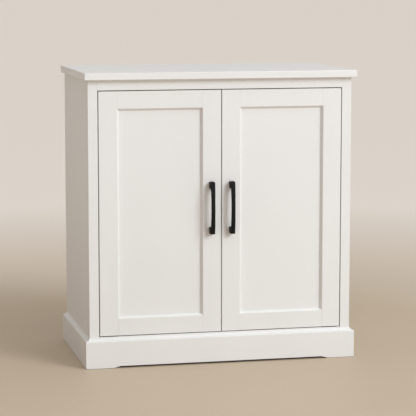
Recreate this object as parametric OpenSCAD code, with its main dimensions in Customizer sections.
// Painted two-door storage cabinet: a carcass of boards behind a face frame, a pair of inset
// frame-and-panel doors on hidden pivots, an overhanging top, a coved plinth, two loose shelves.
// Millimetres. +X is the viewer's right when facing the doors, +Y is the back, +Z is up.
// The origin is on the floor in the middle of the footprint, with the pulls counted in the depth.

/* [Overall] */
// Height from the floor to the upper face of the top
overall_h = 850; // [780:10:1000]
// Width across the outer faces of the side panels
body_w = 778; // [640:2:1000]
// Depth from the front of the face frame to the rear edge of the sides
body_d = 440; // [360:2:560]

/* [Top] */
// Thickness of the top
top_t = 21; // [18:1:36]
// Overhang of the top past each side
top_side_overhang = 12; // [4:1:40]
// Overhang of the top past the face frame
top_front_overhang = 19; // [4:1:27]
// Chamfer along the edges of the top
top_ease = 1.5; // [0.5:0.5:4]

/* [Carcass] */
// Thickness of the side panels
side_t = 18; // [16:1:25]
// Thickness of the bottom, the stretchers and the shelves
board_t = 16; // [15:1:22]
// Thickness of the back panel
back_t = 5; // [3:0.5:8]
// Width of the rebate in each side that holds the back panel
back_lap = 9; // [7:1:12]
// Distance of the back panel from the rear edges of the sides
back_inset = 3; // [2.5:0.5:10]
// Clearance between loose boards and what they fit between
board_fit = 0.5; // [0.2:0.1:2]

/* [Face frame] */
// Thickness of the face frame
frame_t = 22; // [21:1:30]
// Width of the two face stiles
face_stile_w = 28; // [25:1:60]
// Height of the upper face rail
head_h = 29.5; // [26:0.5:60]
// Height of the lower face rail
sill_h = 30; // [26:1:45]
// Height of the lower face rail's upper edge above the plinth
sill_reveal = 1.5; // [0:0.5:10]

/* [Plinth] */
// Height of the plinth from the floor
plinth_h = 89; // [70:1:140]
// Thickness of the plinth boards, which is what they stand proud of the body
plinth_t = 12; // [8:1:22]
// Radius of the round nose under the cove along the plinth's upper edge
plinth_nose_r = 2.5; // [1:0.5:4]
// Thickness left at the very top of the cove
plinth_nib = 0.5; // [0.5:0.5:3]
// Length of each foot under the front plinth, from the outer corner
foot_l = 80; // [50:1:150]
// Length of the slope from a foot up to the arch
foot_slope = 20; // [5:1:40]
// Height of the arch between the feet
arch_h = 5; // [3:0.5:30]
// Thickness of the glides under the base
glide_h = 1; // [1:0.5:6]
// Width of the square corner blocks that carry the glides
block_w = 40; // [34:1:60]
// Distance of the rear plinth from the rear edges of the sides
rear_plinth_inset = 40; // [20:1:80]

/* [Doors] */
// Thickness of the door frames
door_t = 20; // [18:1:20]
// Gap round and between the doors
door_gap = 2.5; // [2.5:0.5:4]
// Flat width of the door stiles
stile_flat = 53.5; // [50:0.5:90]
// Flat width of the top rails
top_rail_flat = 50; // [40:1:90]
// Flat width of the bottom rails
bottom_rail_flat = 49; // [40:1:90]
// Width of the bevel round the panel
bevel_w = 5.5; // [3:0.5:12]
// Depth of the bevel round the panel
bevel_d = 8.5; // [2:0.5:8.5]
// Depth of the panel's face behind the face of the door
panel_recess = 9.5; // [8.7:0.1:10.5]
// Thickness of the door panels
panel_t = 6; // [4:0.5:7]
// Depth of the groove that holds a panel
groove_d = 8; // [6:1:12]
// Chamfer on the outer upright edges of the doors
door_ease = 1; // [0.4:0.1:2]

/* [Pivots] */
// Distance of the pivot from the hinge edge of a door
pivot_x = 11; // [10:0.5:16]
// Distance of the pivot behind the face of a door
pivot_y = 7; // [6.5:0.1:7]
// Radius of the pivot pins
pin_r = 2.5; // [2:0.25:3]
// Radial running clearance of the pins in their bushes
pin_fit = 0.05; // [0.02:0.01:0.1]
// Depth of a pin in the wood and of a bush in the face rail
pin_seat = 12; // [8:1:18]
// Length of the pivot leaves and plates
leaf_l = 48; // [40:1:60]
// Width of the pivot leaves and plates
leaf_w = 11; // [9:0.5:12]
// Thickness of the pivot leaves and plates
leaf_t = 2; // [1.5:0.5:3]
// Clearance between a bush's flange and the door leaf
flange_fit = 0.2; // [0.1:0.1:0.5]

/* [Pulls] */
// Distance between the two screws of a pull
pull_centres = 132; // [96:1:192]
// Height of the middle of the pulls above the floor
pull_z = 457; // [300:1:600]
// Distance of a pull's middle from the meeting edge of its door
pull_edge = 28.5; // [20:0.5:45]
// How far a pull stands out from the door
pull_proj = 28; // [28:1:45]
// Bow of the bar between its ends and its middle
pull_bow = 7; // [2:1:12]
// Width of the bar
bar_w = 11; // [8:0.5:14]
// Thickness of the bar
bar_t = 7; // [5:1:10]
// Width of the pull's feet
foot_w = 14; // [10:0.5:16]
// Height of the pull's feet
foot_h = 19.5; // [14:0.5:24]

/* [Shelves] */
// Height of the middle pin row under the lower shelf
lower_pin_z = 320; // [220:1:360]
// Height of the middle pin row under the upper shelf
upper_pin_z = 560; // [470:1:640]
// Spacing of the pin rows
pin_pitch = 32; // [25:1:40]
// Number of pin rows at each shelf
pin_rows = 3; // [1:2:5]
// Distance of the pin columns from the face frame and from the back panel
pin_setback = 37; // [30:1:60]
// Radius of the shelf pin holes
pin_hole_r = 2.5; // [2.5:0.5:3.5]
// Depth of the shelf pin holes
pin_hole_d = 10; // [8:1:12]
// Distance of the shelves' front edges behind the face frame
shelf_setback = 10; // [6:1:40]
// Gap between a shelf and each side panel
shelf_gap = 1; // [1:0.5:2]

/* [Hidden] */
$fn = 48;
cut = 1;                                   // overshoot of every cutter past the face that it cuts

paint = "#f1eee9";
board = "#e9e6e0";
iron = "#24201d";
steel = "#b9bbbd";
nylon = "#4a4744";
beech = "#cfae80";

// Levels and planes shared by the pieces
front_y = -(body_d - pull_proj) / 2;       // face of the face frame and of the doors
back_y = front_y + body_d;                 // rear edges of the sides and the top
carcass_y = front_y + frame_t;             // rear of the face frame
inner_back_y = back_y - back_inset - back_t;
inner_w = body_w - 2 * side_t;
under_top = overall_h - top_t;
sill_z = plinth_h + sill_reveal;           // upper face of the bottom panel and of the lower face rail
under_bottom = sill_z - board_t;
open_w = body_w - 2 * face_stile_w;
head_z = under_top - head_h;               // lower face of the upper face rail
door_w = (open_w - 3 * door_gap) / 2;
door_h = head_z - sill_z - 2 * door_gap;
door_z = sill_z + door_gap;
member_back = 0.2;                         // play of a panel in its groove
groove_t = panel_t + member_back;

// Hardware sizes
screw_r = 1.75;
screw_head_r = 3.5;
screw_head_h = 1.8;
catch_w = 76;
catch_h = 18;
catch_d = 14;
magnet = [18, 4, 12];
magnet_x = 24;
strike = [22, 1.5, 14];
stop_w = 40;
stop_h = 12;
bumper_x = 6;
bumper_r = 3.5;
bumper_t = frame_t - door_t - 0.2;
cam_r = 7.5;
cam_h = 12.5;
cam_reach = 24;
cam_setback = 90;
bolt_r = 3;
dowel_r = 4;
dowel_l = 30;
dowel_step = 32;
bracket = [30, 20, 2];                     // leg, width, thickness

// A box given by its lowest and highest corners
module box(low, high) {
    translate(low) cube(high - low);
}

// The children at the left and, mirrored, at the right
module both_sides() {
    children();
    mirror([1, 0, 0]) children();
}

// A countersunk wood screw whose head lies flush with z = 0, driven towards -z
module flush_screw(length) {
    translate([0, 0, -screw_head_h]) cylinder(r1 = screw_r, r2 = screw_head_r, h = screw_head_h);
    translate([0, 0, -length]) cylinder(r = screw_r, h = length - screw_head_h);
}

// A pan-head screw whose head stands on z = 0, driven towards -z
module pan_screw(length, shank_r = screw_r, head_r = screw_head_r, head_h = screw_head_h) {
    cylinder(r = head_r, h = head_h);
    translate([0, 0, -length]) cylinder(r = shank_r, h = length);
}

// ---- Fasteners and fittings of the carcass, also used to drill the boards ----

module pin_places(z_rows) {
    for (y = [carcass_y + pin_setback, inner_back_y - pin_setback], z = z_rows)
        translate([inner_w / 2, y, z]) rotate([0, 90, 0]) children();
}

module pin_holes() {
    rows = [for (z = [lower_pin_z, upper_pin_z], i = [0 : pin_rows - 1])
        z + (i - (pin_rows - 1) / 2) * pin_pitch];
    pin_places(rows) translate([0, 0, -cut]) cylinder(r = pin_hole_r, h = pin_hole_d + cut);
}

// A shelf pin: a shank in the hole, a thin collar on the board and a flat tongue for the shelf
module shelf_pin() {
    shank_fit = 0.05;
    collar_t = 0.8;
    tongue = [3, 7, 9];
    cylinder(r = pin_hole_r - shank_fit, h = pin_hole_d - cut);
    translate([0, 0, -collar_t]) cylinder(r = pin_hole_r + 1.5, h = collar_t);
    translate([-pin_hole_r, -tongue.y / 2, -tongue.z]) cube(tongue);
}

module cam_places() {
    for (y = [carcass_y + cam_setback, inner_back_y - cam_setback])
        translate([inner_w / 2, y, sill_z - board_t / 2]) children();
}

module cam_bolt() {
    thread_r = 2.5;
    thread_l = 11;
    rotate([0, 90, 0]) cylinder(r = thread_r, h = thread_l);
    translate([-cam_reach, 0, 0]) rotate([0, 90, 0]) cylinder(r = bolt_r, h = cam_reach);
}

module cam_disc() {
    translate([-cam_reach, 0, -board_t / 2]) cylinder(r = cam_r, h = cam_h);
}

// Dowels at the right-hand ends of the bottom panel and of the two stretchers
module dowel_row() {
    in_side = dowel_l / 2 - 4;
    for (y = [carcass_y + cam_setback, inner_back_y - cam_setback], s = [-1, 1])
        translate([inner_w / 2 + in_side - dowel_l, y + s * dowel_step, sill_z - board_t / 2])
            rotate([0, 90, 0]) cylinder(r = dowel_r, h = dowel_l);
    for (y = [carcass_y + board_t / 2, inner_back_y - board_t / 2], s = [-1, 1])
        translate([inner_w / 2 + in_side - dowel_l, y, under_top - head_h / 2 + s * head_h / 4])
            rotate([0, 90, 0]) cylinder(r = dowel_r, h = dowel_l);
}

module bracket_places() {
    for (y = [carcass_y + cam_setback, inner_back_y - cam_setback])
        translate([inner_w / 2, y, under_top]) children();
}

module bracket_screw_set() {
    reach = bracket.x * 0.6;
    bracket_places() {
        translate([-reach, 0, -bracket.z]) rotate([180, 0, 0]) pan_screw(14);
        translate([-bracket.z, 0, -reach]) rotate([0, -90, 0]) pan_screw(14);
    }
}

module back_screw_set() {
    length = 16;
    rear = back_y - back_inset;
    edge_x = inner_w / 2 + back_lap / 2;
    low_z = under_bottom + board_t / 2;
    high_z = under_top - head_h / 2;
    both_sides() for (i = [0 : 3])
        translate([edge_x, rear, low_z + 40 + i * (high_z - low_z - 80) / 3])
            rotate([-90, 0, 0]) pan_screw(length);
    for (x = [-1 : 1], z = [low_z, high_z])
        translate([x * inner_w / 3, rear, z]) rotate([-90, 0, 0]) pan_screw(length);
}

module glide_places() {
    for (y = [carcass_y + block_w / 2, back_y - rear_plinth_inset - block_w / 2])
        translate([inner_w / 2 - block_w / 2, y, 0]) children();
}

module glide() {
    pad_r = 14;
    spigot_r = 3;
    spigot_l = 12;
    cylinder(r = pad_r, h = glide_h);
    translate([0, 0, glide_h]) cylinder(r = spigot_r, h = spigot_l);
}

module catch_screw_set() {
    for (s = [-1, 1]) translate([s * (bumper_x + 5), carcass_y + catch_d / 2 + 2, head_z - catch_h])
        rotate([180, 0, 0]) flush_screw(catch_h + 14);
}

// ---- Carcass ----

module top_panel() {
    w = body_w / 2 + top_side_overhang;
    e = top_ease;
    color(paint) difference() {
        intersection() {
            translate([0, back_y, under_top]) rotate([90, 0, 0])
                linear_extrude(body_d + top_front_overhang)
                    polygon([[e - w, 0], [w - e, 0], [w, e], [w, top_t - e], [w - e, top_t],
                        [e - w, top_t], [-w, top_t - e], [-w, e]]);
            translate([-w, front_y - top_front_overhang, under_top]) rotate([90, 0, 90])
                linear_extrude(2 * w) let (d = body_d + top_front_overhang)
                    polygon([[e, 0], [d, 0], [d, top_t], [e, top_t], [0, top_t - e], [0, e]]);
        }
        both_sides() bracket_screw_set();
    }
}

// The right-hand side panel
module side_panel() {
    difference() {
        box([inner_w / 2, carcass_y, glide_h], [body_w / 2, back_y, under_top]);
        box([inner_w / 2 - cut, inner_back_y, glide_h - cut],
            [inner_w / 2 + back_lap, back_y + cut, under_top + cut]);
        pin_holes();
        cam_places() cam_bolt();
        dowel_row();
        bracket_screw_set();
        back_screw_set();
    }
}

module left_side_panel() { color(paint) mirror([1, 0, 0]) side_panel(); }

module right_side_panel() { color(paint) side_panel(); }

module bottom_panel() {
    color(board) difference() {
        box([-inner_w / 2, carcass_y, under_bottom], [inner_w / 2, inner_back_y, sill_z]);
        both_sides() {
            cam_places() cam_bolt();
            cam_places() cam_disc();
            dowel_row();
        }
        back_screw_set();
        stop_screw();
    }
}

module back_panel() {
    half = inner_w / 2 + back_lap - board_fit;
    color(board) difference() {
        box([-half, inner_back_y, under_bottom], [half, inner_back_y + back_t, under_top]);
        back_screw_set();
    }
}

module stretcher(y) {
    difference() {
        box([-inner_w / 2, y, head_z], [inner_w / 2, y + board_t, under_top]);
        both_sides() dowel_row();
        back_screw_set();
        catch_screw_set();
    }
}

module front_stretcher() { color(board) stretcher(carcass_y); }

module rear_stretcher() { color(board) stretcher(inner_back_y - board_t); }

// ---- Face frame ----

module face_stile() {
    box([open_w / 2, front_y, glide_h], [body_w / 2, carcass_y, under_top]);
}

module left_face_stile() { color(paint) mirror([1, 0, 0]) face_stile(); }

module right_face_stile() { color(paint) face_stile(); }

module face_rail(low_z, high_z) {
    difference() {
        box([-open_w / 2, front_y, low_z], [open_w / 2, carcass_y, high_z]);
        pivot_frame_cut();
    }
}

module top_face_rail() { color(paint) face_rail(head_z, under_top); }

module bottom_face_rail() { color(paint) face_rail(sill_z - sill_h, sill_z); }

// ---- Plinth ----

// Section of the plinth: a cove hollowed out of its upper edge, with a round nose below the cove
module plinth_profile() {
    nose_x = plinth_t - plinth_nose_r;
    cove_r = nose_x - plinth_nib;
    nose_z = plinth_h - cove_r - plinth_nose_r;
    translate([0, glide_h]) square([plinth_t, nose_z - glide_h]);
    translate([nose_x, nose_z]) circle(r = plinth_nose_r);
    difference() {
        translate([0, glide_h]) square([nose_x, plinth_h - glide_h]);
        translate([nose_x, plinth_h]) circle(r = cove_r);
    }
}

module front_plinth() {
    w = body_w / 2;
    long = body_w + 2 * plinth_t;
    arch_z = glide_h + arch_h;
    foot_x = w + plinth_t - foot_l;
    color(paint) difference() {
        translate([long / 2, front_y, 0]) rotate([90, 0, -90])
            linear_extrude(long) plinth_profile();
        both_sides() translate([w, front_y, 0]) linear_extrude(plinth_h + cut)
            polygon([[0, 0], [plinth_t + cut, -plinth_t - cut], [plinth_t + cut, 0]]);
        translate([0, front_y + cut, 0]) rotate([90, 0, 0]) linear_extrude(plinth_t + 2 * cut)
            polygon([[-foot_x, 0], [foot_x, 0], [foot_x, glide_h], [foot_x - foot_slope, arch_z],
                [foot_slope - foot_x, arch_z], [-foot_x, glide_h]]);
    }
}

module side_plinth() {
    w = body_w / 2;
    difference() {
        translate([w, back_y, 0]) rotate([90, 0, 0])
            linear_extrude(body_d + plinth_t) plinth_profile();
        translate([w, front_y, 0]) linear_extrude(plinth_h + cut)
            polygon([[0, 0], [plinth_t + cut, -plinth_t - cut], [-cut, -plinth_t - cut], [-cut, 0]]);
    }
}

module left_plinth() { color(paint) mirror([1, 0, 0]) side_plinth(); }

module right_plinth() { color(paint) side_plinth(); }

module rear_plinth() {
    rear = back_y - rear_plinth_inset;
    color(board) box([-inner_w / 2, rear, glide_h], [inner_w / 2, rear + board_t, under_bottom]);
}

module corner_blocks() {
    color(beech) both_sides() difference() {
        glide_places() translate([-block_w / 2, -block_w / 2, glide_h])
            cube([block_w, block_w, under_bottom - glide_h]);
        glide_places() glide();
    }
}

module glides() { color(nylon) both_sides() glide_places() glide(); }

// ---- Shelves ----

module shelf(pin_z) {
    half = inner_w / 2 - shelf_gap;
    low = pin_z + pin_hole_r;
    box([-half, carcass_y + shelf_setback, low], [half, inner_back_y - board_fit, low + board_t]);
}

module lower_shelf() { color(board) shelf(lower_pin_z); }

module upper_shelf() { color(board) shelf(upper_pin_z); }

module shelf_pins() {
    color(steel) both_sides() pin_places([lower_pin_z, upper_pin_z]) rotate([0, 0, 180]) shelf_pin();
}

// ---- Carcass fittings ----

module cam_locks() {
    color(steel) both_sides() difference() {
        cam_places() cam_disc();
        cam_places() cam_bolt();
    }
}

module cam_bolts() { color(steel) both_sides() cam_places() cam_bolt(); }

module dowels() { color(beech) both_sides() dowel_row(); }

module top_brackets() {
    color(steel) both_sides() difference() {
        bracket_places() {
            translate([-bracket.x, -bracket.y / 2, -bracket.z]) cube(bracket);
            translate([-bracket.z, -bracket.y / 2, -bracket.x])
                cube([bracket.z, bracket.y, bracket.x]);
        }
        bracket_screw_set();
    }
}

module bracket_screws() { color(steel) both_sides() bracket_screw_set(); }

module back_screws() { color(steel) back_screw_set(); }

module catch_body() {
    color(paint) difference() {
        box([-catch_w / 2, carcass_y, head_z - catch_h], [catch_w / 2, carcass_y + catch_d, head_z]);
        catch_magnets();
        catch_screw_set();
    }
}

module catch_magnets() {
    proud = 0.3;
    color(iron) both_sides()
        translate([magnet_x - magnet.x / 2, carcass_y - proud, head_z - catch_h / 2 - magnet.z / 2])
            cube(magnet);
}

module stop_screw() {
    translate([0, carcass_y + catch_d / 2, sill_z + stop_h]) flush_screw(stop_h + board_t - 4);
}

// The wooden stop behind the lower corners of the doors
module door_stop() {
    color(paint) difference() {
        box([-stop_w / 2, carcass_y, sill_z], [stop_w / 2, carcass_y + catch_d, sill_z + stop_h]);
        stop_screw();
    }
}

// The screws of the catch and of the door stop
module stop_screws() {
    color(steel) {
        catch_screw_set();
        stop_screw();
    }
}

// ---- Door frame of reference: x from the hinge edge, y from the face, z from the lower edge ----

module place_door(side) {
    translate([side * (open_w / 2 - door_gap), front_y, door_z])
        if (side > 0) mirror([1, 0, 0]) children(); else children();
}

// The children at the upper end of a door and, upside down, at its lower end
module both_ends() {
    children();
    translate([0, 0, door_h]) mirror([0, 0, 1]) children();
}

// ---- Pivots, drawn at the upper end of a left-hand door ----

leaf_x = pivot_x - leaf_w / 2 - 1;

module leaf_plate(low_z) {
    translate([leaf_x, pivot_y - leaf_w / 2, low_z]) cube([leaf_l, leaf_w, leaf_t]);
}

module leaf_screw_places() {
    for (x = [leaf_x + leaf_l - 8, leaf_x + leaf_l - 20]) translate([x, pivot_y, 0]) children();
}

module pivot_pin() {
    end_gap = 1;
    low = door_h - pin_seat;
    translate([pivot_x, pivot_y, low])
        cylinder(r = pin_r, h = pin_seat + door_gap + pin_seat - end_gap);
}

// A flanged bush, still solid, so that it can also drill the rail
module bush_blank() {
    wall = 1.5;
    translate([pivot_x, pivot_y, door_h + door_gap]) cylinder(r = pin_r + wall, h = pin_seat);
    translate([pivot_x, pivot_y, door_h + flange_fit])
        cylinder(r = pin_r + 2 * wall, h = door_gap - flange_fit);
}

module plate_screw_pair() {
    leaf_screw_places() translate([0, 0, door_h + door_gap]) rotate([180, 0, 0]) flush_screw(18);
}

module leaf_screw_pair() {
    leaf_screw_places() translate([0, 0, door_h]) flush_screw(18);
}

module on_both_doors() {
    for (side = [-1, 1]) place_door(side) both_ends() children();
}

// What the leaves, pins and screws take out of the ends of a door
module leaf_recesses() {
    both_ends() {
        leaf_plate(door_h - leaf_t);
        pivot_pin();
        leaf_screw_pair();
    }
}

module pivot_frame_cut() {
    on_both_doors() {
        leaf_plate(door_h + door_gap);
        bush_blank();
        plate_screw_pair();
    }
}

module pivot_plates() {
    color(steel) on_both_doors() difference() {
        leaf_plate(door_h + door_gap);
        bush_blank();
        plate_screw_pair();
    }
}

module pivot_bushes() {
    color(nylon) on_both_doors() difference() {
        bush_blank();
        translate([pivot_x, pivot_y, door_h]) cylinder(r = pin_r + pin_fit, h = 2 * pin_seat);
    }
}

module plate_screws() { color(steel) on_both_doors() plate_screw_pair(); }

module pivot_leaves(side) {
    color(steel) place_door(side) both_ends() difference() {
        leaf_plate(door_h - leaf_t);
        pivot_pin();
        leaf_screw_pair();
    }
}

module pivot_pins(side) { color(steel) place_door(side) both_ends() pivot_pin(); }

module leaf_screws(side) { color(steel) place_door(side) both_ends() leaf_screw_pair(); }

// ---- Door frame members ----

// Section of a frame member: [across, depth] points, with the inner edge bevelled and grooved
function member_section(flat, ease) = let (w = flat + bevel_w) [
    [ease, 0], [flat, 0], [w, bevel_d], [w, panel_recess], [w - groove_d, panel_recess],
    [w - groove_d, panel_recess + groove_t], [w, panel_recess + groove_t], [w, door_t],
    [0, door_t], [0, ease]];

module hinge_stile_blank() {
    linear_extrude(door_h) polygon(member_section(stile_flat, door_ease));
}

module meeting_stile_blank() {
    translate([door_w, 0, 0]) mirror([1, 0, 0]) hinge_stile_blank();
}

// A rail along x whose ends are scribed over the stiles' bevels and tongued into their grooves
module rail_blank(flat) {
    tongue_x = stile_flat + bevel_w - groove_d;
    section = [for (p = member_section(flat, 0)) [p.y, p.x]];
    difference() {
        translate([tongue_x, 0, 0]) rotate([90, 0, 90])
            linear_extrude(door_w - 2 * tongue_x) polygon(section);
        hinge_stile_blank();
        meeting_stile_blank();
        leaf_recesses();
    }
}

module hinge_stile(side) {
    color(paint) place_door(side) difference() {
        hinge_stile_blank();
        leaf_recesses();
    }
}

module meeting_stile(side) {
    color(paint) place_door(side) difference() {
        meeting_stile_blank();
        pull_screw_set();
        strike_screw_in_place();
    }
}

module top_rail(side) {
    color(paint) place_door(side) translate([0, 0, door_h]) mirror([0, 0, 1]) rail_blank(top_rail_flat);
}

module bottom_rail(side) { color(paint) place_door(side) rail_blank(bottom_rail_flat); }

module door_panel(side) {
    edge = bevel_w - groove_d + 1;
    low = [stile_flat + edge, panel_recess, bottom_rail_flat + edge];
    high = [door_w - stile_flat - edge, panel_recess + panel_t, door_h - top_rail_flat - edge];
    color(paint) place_door(side) box(low, high);
}

// ---- Pulls ----

module at_pull() {
    translate([door_w - pull_edge, 0, pull_z - door_z]) children();
}

module pull_screw_set() {
    at_pull() for (s = [-1, 1]) translate([0, door_t, s * pull_centres / 2])
        rotate([-90, 0, 0]) pan_screw(door_t + 11, 2, 4.5, 2.2);
}

// A bowed bar on two square feet; its side view is cut from two concentric arcs
module pull(side) {
    half = (pull_centres + foot_h) / 2;
    bow_r = (half * half + pull_bow * pull_bow) / (2 * pull_bow);
    color(iron) place_door(side) difference() {
        at_pull() {
            translate([-bar_w / 2, 0, 0]) rotate([90, 0, 90]) linear_extrude(bar_w)
                intersection() {
                    translate([bow_r - pull_proj, 0]) difference() {
                        circle(r = bow_r, $fn = 360);
                        circle(r = bow_r - bar_t, $fn = 360);
                    }
                    translate([-pull_proj, -half]) square([pull_proj, 2 * half]);
                }
            translate([-foot_w / 2, 0, 0]) rotate([90, 0, 90]) linear_extrude(foot_w)
                intersection() {
                    translate([bow_r - pull_proj, 0]) circle(r = bow_r, $fn = 360);
                    for (s = [-1, 1]) translate([-pull_proj, s * pull_centres / 2 - foot_h / 2])
                        square([pull_proj, foot_h]);
                }
        }
        pull_screw_set();
    }
}

module pull_screws(side) { color(steel) place_door(side) pull_screw_set(); }

// ---- Door fittings ----

module at_strike() {
    translate([door_w + door_gap / 2 - magnet_x, door_t, head_z - catch_h / 2 - door_z]) children();
}

module strike_screw_in_place() {
    at_strike() translate([0, strike.y, 0]) rotate([-90, 0, 0]) flush_screw(14);
}

module strike_plate(side) {
    color(steel) place_door(side) difference() {
        at_strike() translate([-strike.x / 2, 0, -strike.z / 2]) cube(strike);
        strike_screw_in_place();
    }
}

module strike_screw(side) { color(steel) place_door(side) strike_screw_in_place(); }

module bumpers(side) {
    edge = door_w + door_gap / 2 - bumper_x;
    high_z = head_z - catch_h / 2 - door_z;
    low_z = stop_h / 2;
    color(nylon) place_door(side) for (z = [low_z, high_z])
        translate([edge, door_t, z]) rotate([-90, 0, 0]) cylinder(r = bumper_r, h = bumper_t);
}

top_panel();
left_side_panel();
right_side_panel();
bottom_panel();
back_panel();
front_stretcher();
rear_stretcher();
left_face_stile();
right_face_stile();
top_face_rail();
bottom_face_rail();
front_plinth();
left_plinth();
right_plinth();
rear_plinth();
corner_blocks();
glides();
lower_shelf();
upper_shelf();
shelf_pins();
cam_locks();
cam_bolts();
dowels();
top_brackets();
bracket_screws();
back_screws();
pivot_plates();
pivot_bushes();
plate_screws();
catch_body();
catch_magnets();
door_stop();
stop_screws();
hinge_stile(-1);  // left_hinge_stile
meeting_stile(-1);  // left_meeting_stile
top_rail(-1);  // left_top_rail
bottom_rail(-1);  // left_bottom_rail
door_panel(-1);  // left_panel
pull(-1);  // left_pull
pull_screws(-1);  // left_pull_screws
pivot_leaves(-1);  // left_pivot_leaves
pivot_pins(-1);  // left_pivot_pins
leaf_screws(-1);  // left_leaf_screws
strike_plate(-1);  // left_strike_plate
strike_screw(-1);  // left_strike_screw
bumpers(-1);  // left_bumpers
hinge_stile(1);  // right_hinge_stile
meeting_stile(1);  // right_meeting_stile
top_rail(1);  // right_top_rail
bottom_rail(1);  // right_bottom_rail
door_panel(1);  // right_panel
pull(1);  // right_pull
pull_screws(1);  // right_pull_screws
pivot_leaves(1);  // right_pivot_leaves
pivot_pins(1);  // right_pivot_pins
leaf_screws(1);  // right_leaf_screws
strike_plate(1);  // right_strike_plate
strike_screw(1);  // right_strike_screw
bumpers(1);  // right_bumpers
